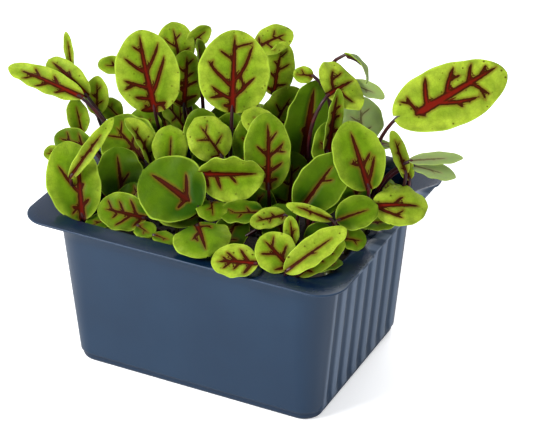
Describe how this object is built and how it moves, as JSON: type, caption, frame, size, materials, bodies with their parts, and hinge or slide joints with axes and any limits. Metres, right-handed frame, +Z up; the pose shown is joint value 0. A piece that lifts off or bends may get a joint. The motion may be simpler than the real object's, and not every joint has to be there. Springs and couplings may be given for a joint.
{
  "type": "sorrel plant in a tray pot",
  "caption": "Bunch of young red-veined sorrel plants standing in growing medium in a flanged, ribbed rectangular plastic tray pot.",
  "frame": {"origin": "middle of the tray's flat underside", "axes": "+X along the tray's long side, towards its ribbed right end; +Y towards its back; +Z up"},
  "size_m": [0.2599, 0.1626, 0.1761],
  "materials": {
    "tray_plastic": "satin",
    "growing_medium": "matte",
    "leaf": "satin"
  },
  "bodies": {
    "root": {"tray": "tray_plastic", "growing_medium": "growing_medium", "plant_01": "leaf", "plant_02": "leaf", "plant_03": "leaf", "plant_04": "leaf", "plant_05": "leaf", "plant_06": "leaf", "plant_07": "leaf", "plant_08": "leaf", "plant_09": "leaf", "plant_10": "leaf", "plant_11": "leaf", "plant_12": "leaf", "plant_13": "leaf", "plant_14": "leaf", "plant_15": "leaf", "plant_16": "leaf", "plant_17": "leaf", "plant_18": "leaf", "plant_19": "leaf", "plant_20": "leaf", "plant_21": "leaf", "plant_22": "leaf", "plant_23": "leaf"}
  },
  "joints": []
}
